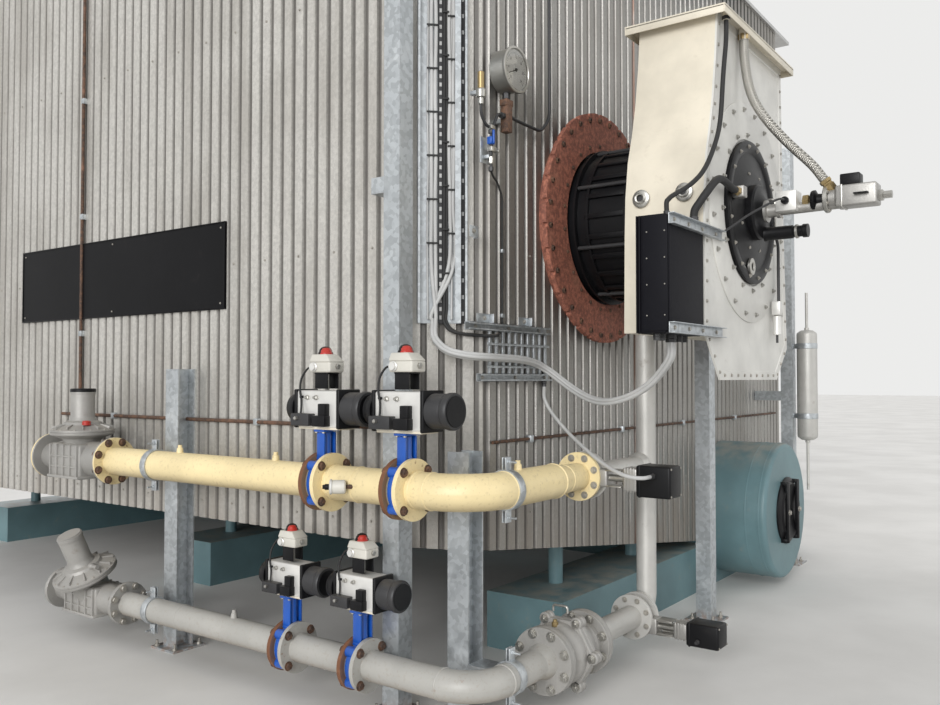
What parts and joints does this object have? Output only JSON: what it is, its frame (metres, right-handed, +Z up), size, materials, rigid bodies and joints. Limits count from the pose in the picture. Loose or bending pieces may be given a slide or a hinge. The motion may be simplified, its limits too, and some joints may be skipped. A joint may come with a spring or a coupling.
{
  "type": "industrial water-tube boiler",
  "caption": "Packaged water-tube boiler with ribbed metal casing, steam and lower drums, gas burner with windbox, and two gas trains on posts.",
  "frame": {"origin": "centre of the corner post's base plate, on the floor, at the front left corner", "axes": "+X along the burner front towards the drums, +Y from the burner front to the rear, +Z up"},
  "size_m": [6.0318, 8.904, 6.204],
  "materials": {
    "actuator_paint": "anodised alloy",
    "black_cover": "black insulating cover",
    "black_paint": "gloss black",
    "black_rubber": "smooth rubber",
    "blue_paint": "blue enamel",
    "board": "satin black",
    "box_paint": "textured black",
    "cast_alloy": "cast alloy",
    "cast_grey": "painted casting",
    "cladding": "stucco embossed ribbed sheet",
    "core_steel": "dark casing steel",
    "cream_paint": "cream paint",
    "dark_steel": "dark steel",
    "galvanised": "hot dip galvanised",
    "gauge_steel": "stainless case",
    "grey_cable": "smooth cable sheath",
    "grey_paint": "silver grey paint",
    "primer": "red oxide primer",
    "roof_sheet": "plain sheet",
    "silver_pipe": "silver paint",
    "steel_braid": "stainless braid",
    "teal_paint": "satin paint",
    "yellow_paint": "pale yellow paint"
  },
  "bodies": {
    "root": {"casing_core": "core_steel", "cladding_left": "cladding", "cladding_front": "cladding", "cladding_right": "cladding", "cladding_rear": "cladding", "cladding_corners": "cladding", "roof": "roof_sheet", "sign_board": "board", "steam_drum": "teal_paint", "lower_drum": "teal_paint", "drum_ends": "teal_paint", "drum_manways": "black_cover", "saddle_beams": "teal_paint", "stools": "teal_paint", "throat_ring": "primer", "register_drum": "black_paint", "windbox_shell": "cream_paint", "windbox_front": "cream_paint", "windbox_rear": "cream_paint", "windbox_flange": "cream_paint", "burner_cover": "black_paint", "burner_gun": "cast_alloy", "control_box": "box_paint", "gas_riser": "silver_pipe", "upper_pipe": "yellow_paint", "upper_valves": "blue_paint", "upper_actuators": "actuator_paint", "upper_regulator": "cast_grey", "upper_control_valve": "cast_alloy", "lower_pipe": "grey_paint", "lower_valves": "blue_paint", "lower_actuators": "actuator_paint", "lower_regulator": "cast_grey", "gas_filter": "cast_grey", "lower_control_valve": "cast_alloy", "corner_post": "galvanised", "train_posts": "galvanised", "burner_post_frame": "galvanised", "pot_post": "galvanised", "drain_pot": "silver_pipe", "pipe_clamps": "galvanised", "pressure_gauge": "gauge_steel", "cable_tray": "galvanised", "cable_rack": "galvanised", "gas_hose": "steel_braid", "valve_hose": "black_rubber", "front_lead": "black_rubber", "control_bundle": "grey_cable", "valve_lead": "grey_cable", "steam_nozzles": "dark_steel", "flue_outlet": "roof_sheet"}
  },
  "joints": []
}
